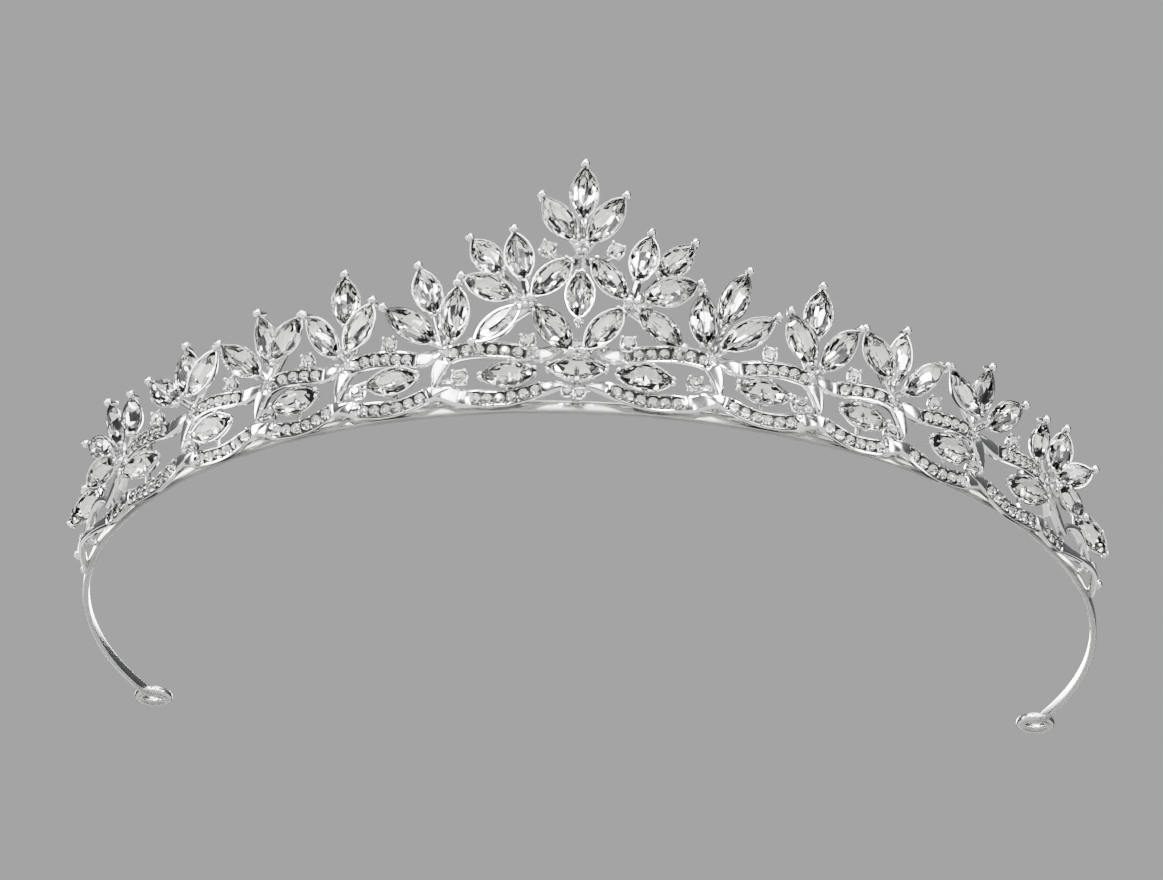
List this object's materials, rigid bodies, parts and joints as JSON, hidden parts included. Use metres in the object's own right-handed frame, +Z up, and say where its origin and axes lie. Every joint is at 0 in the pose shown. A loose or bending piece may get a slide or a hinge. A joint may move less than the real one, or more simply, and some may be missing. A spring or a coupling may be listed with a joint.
{
  "type": "bridal tiara",
  "caption": "Silver-plated tiara: thin open headband with rolled eyelets, openwork almond lattice, leaf clusters and a central three-flower peak of navette crystals.",
  "frame": {"origin": "centre of the bounding box in plan, at the underside of the headband, which is the face the tiara stands on", "axes": "+Z up, square to the plane of the headband; -Y towards the front centre and its peak; +X towards the right of the picture, across the widest part"},
  "size_m": [0.1512, 0.1134, 0.0343],
  "materials": {
    "band_silver": "bright silver plate, softly polished",
    "cast_silver": "bright silver-plated casting",
    "crystal": "clear foil-backed faceted crystal"
  },
  "bodies": {
    "root": {"band_stone_centre": "crystal", "band_stone_left_1": "crystal", "band_stone_left_2": "crystal", "band_stone_left_3": "crystal", "band_stone_left_4": "crystal", "band_stone_left_5": "crystal", "band_stone_right_1": "crystal", "band_stone_right_2": "crystal", "band_stone_right_3": "crystal", "band_stone_right_4": "crystal", "band_stone_right_5": "crystal", "cluster_left_1": "cast_silver", "cluster_left_2": "cast_silver", "cluster_left_3": "cast_silver", "cluster_left_4": "cast_silver", "cluster_left_5": "cast_silver", "cluster_right_1": "cast_silver", "cluster_right_2": "cast_silver", "cluster_right_3": "cast_silver", "cluster_right_4": "cast_silver", "cluster_right_5": "cast_silver", "end_stone_left": "crystal", "end_stone_right": "crystal", "eyelet_left": "band_silver", "eyelet_right": "band_silver", "flower_plate_left": "cast_silver", "flower_plate_right": "cast_silver", "flower_plate_top": "cast_silver", "headband": "band_silver", "lattice_frame_centre": "cast_silver", "lattice_frame_left_2": "cast_silver", "lattice_frame_left_3": "cast_silver", "lattice_frame_left_4": "cast_silver", "lattice_frame_left_5": "cast_silver", "lattice_frame_left_6": "cast_silver", "lattice_frame_right_2": "cast_silver", "lattice_frame_right_3": "cast_silver", "lattice_frame_right_4": "cast_silver", "lattice_frame_right_5": "cast_silver", "lattice_frame_right_6": "cast_silver", "left_petal_inner_lower": "crystal", "left_petal_inner_upper": "crystal", "left_petal_outer": "crystal", "left_petal_outer_lower": "crystal", "left_petal_outer_upper": "crystal", "right_petal_inner_lower": "crystal", "right_petal_inner_upper": "crystal", "right_petal_outer": "crystal", "right_petal_outer_lower": "crystal", "right_petal_outer_upper": "crystal", "round_stone_left_lower": "crystal", "round_stone_left_upper": "crystal", "round_stone_right_lower": "crystal", "round_stone_right_upper": "crystal", "top_petal_down": "crystal", "top_petal_lower_left": "crystal", "top_petal_lower_right": "crystal", "top_petal_up": "crystal", "top_petal_upper_left": "crystal", "top_petal_upper_right": "crystal"}
  },
  "joints": []
}
